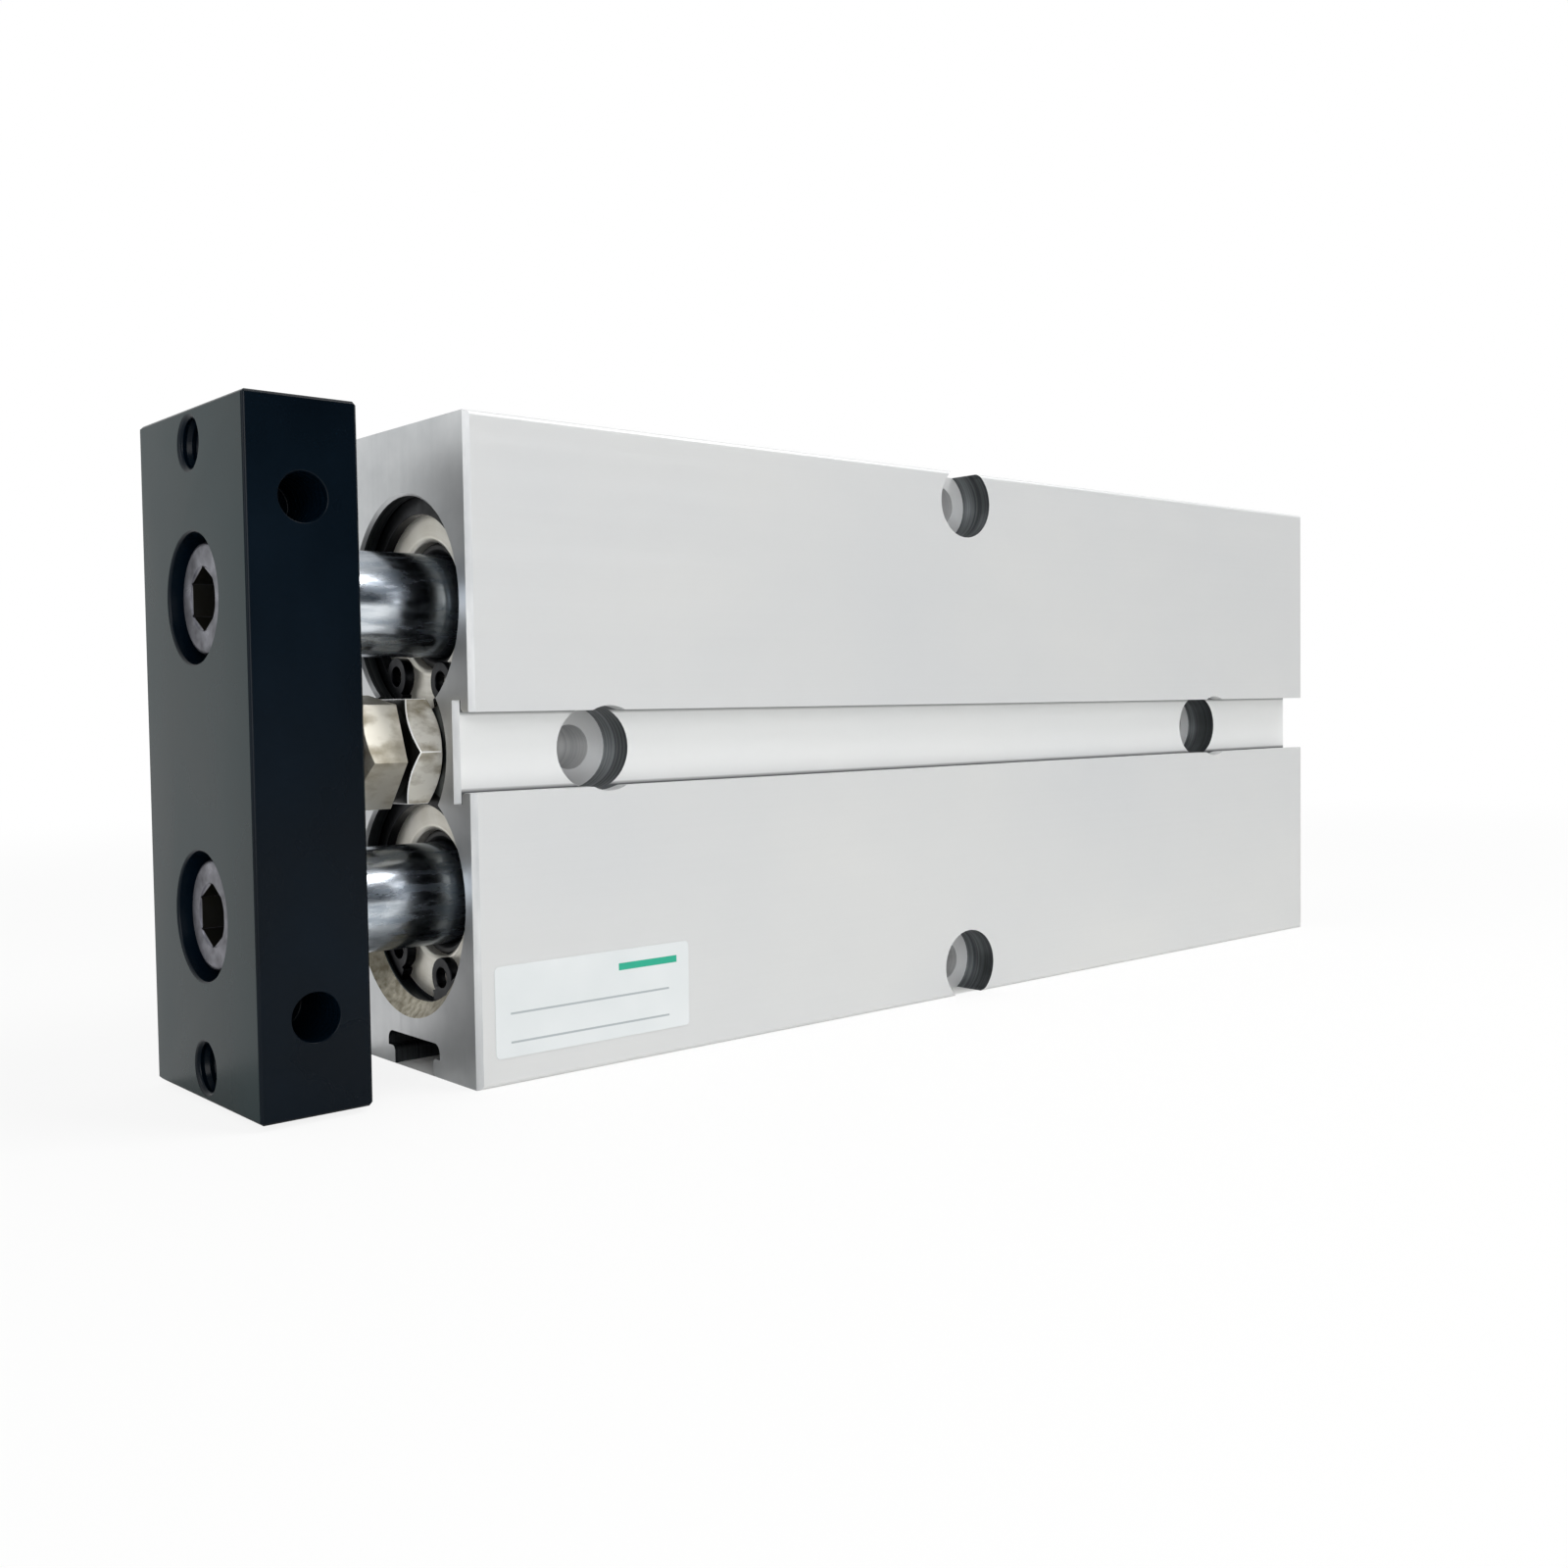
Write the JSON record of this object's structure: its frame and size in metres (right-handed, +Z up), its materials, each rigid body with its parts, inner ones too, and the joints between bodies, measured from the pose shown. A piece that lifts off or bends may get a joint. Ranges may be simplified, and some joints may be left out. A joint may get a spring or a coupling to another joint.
{
  "type": "twin-rod pneumatic cylinder",
  "caption": "Guided air cylinder: a slim extruded body with side-by-side pistons whose rods carry one end plate, adjustable stop screw, counterbored mounts and sensor slot.",
  "frame": {"origin": "middle of the bottom of the whole box, rods retracted", "axes": "+X the way the rods extend, +Y the labelled wide face, +Z up with the sensor slot at the bottom"},
  "size_m": [0.16, 0.025, 0.062],
  "materials": {
    "clear_anodised_aluminium": "extruded, matt clear anodised",
    "black_anodised_aluminium": "milled, matt black anodised",
    "turned_aluminium": "fine turned",
    "hard_chromed_steel": "ground and polished",
    "nickel_plated_steel": "dull nickel plate",
    "black_oxide_steel": "black oxide, oiled",
    "sintered_bronze": "sintered, oil filled",
    "nitrile_rubber": "moulded",
    "urethane": "moulded, smooth",
    "acetal": "moulded strip",
    "bonded_magnet": "magnet powder in rubber"
  },
  "bodies": {
    "barrel": {"body": "clear_anodised_aluminium", "front_cover_upper": "turned_aluminium", "rod_bush_upper": "sintered_bronze", "rod_seal_upper": "nitrile_rubber", "front_o_ring_upper": "nitrile_rubber", "front_circlip_upper": "black_oxide_steel", "rear_cover_upper": "turned_aluminium", "rear_o_ring_upper": "nitrile_rubber", "rear_circlip_upper": "black_oxide_steel", "front_cover_lower": "turned_aluminium", "rod_bush_lower": "sintered_bronze", "rod_seal_lower": "nitrile_rubber", "front_o_ring_lower": "nitrile_rubber", "front_circlip_lower": "black_oxide_steel", "rear_cover_lower": "turned_aluminium", "rear_o_ring_lower": "nitrile_rubber", "rear_circlip_lower": "black_oxide_steel"},
    "carriage": {"end_plate": "black_anodised_aluminium", "plate_bumper": "urethane", "magnet_ring": "bonded_magnet", "piston_rod_upper": "hard_chromed_steel", "piston_upper": "turned_aluminium", "piston_seal_upper": "nitrile_rubber", "wear_ring_upper": "acetal", "front_bumper_upper": "urethane", "rear_bumper_upper": "urethane", "piston_screw_upper": "black_oxide_steel", "plate_screw_upper": "black_oxide_steel", "piston_rod_lower": "hard_chromed_steel", "piston_lower": "turned_aluminium", "piston_seal_lower": "nitrile_rubber", "wear_ring_lower": "acetal", "front_bumper_lower": "urethane", "rear_bumper_lower": "urethane", "piston_screw_lower": "black_oxide_steel", "plate_screw_lower": "black_oxide_steel"},
    "stop_screw": {"stop_screw": "nickel_plated_steel"},
    "jam_nut": {"jam_nut": "nickel_plated_steel"}
  },
  "joints": [
    {"name": "rod_slide", "type": "slide", "parent": "barrel", "child": "carriage", "axis": [1, 0, 0], "range_m": [0, 0.08]},
    {"name": "stop_screw_turn", "type": "hinge", "parent": "barrel", "child": "stop_screw", "pos_m": [0.0628, 0, 0.031], "axis": [1, 0, 0], "range_deg": [-180, 180]},
    {"name": "jam_nut_turn", "type": "hinge", "parent": "barrel", "child": "jam_nut", "pos_m": [0.0588, 0, 0.031], "axis": [1, 0, 0], "range_deg": [-180, 180]}
  ]
}
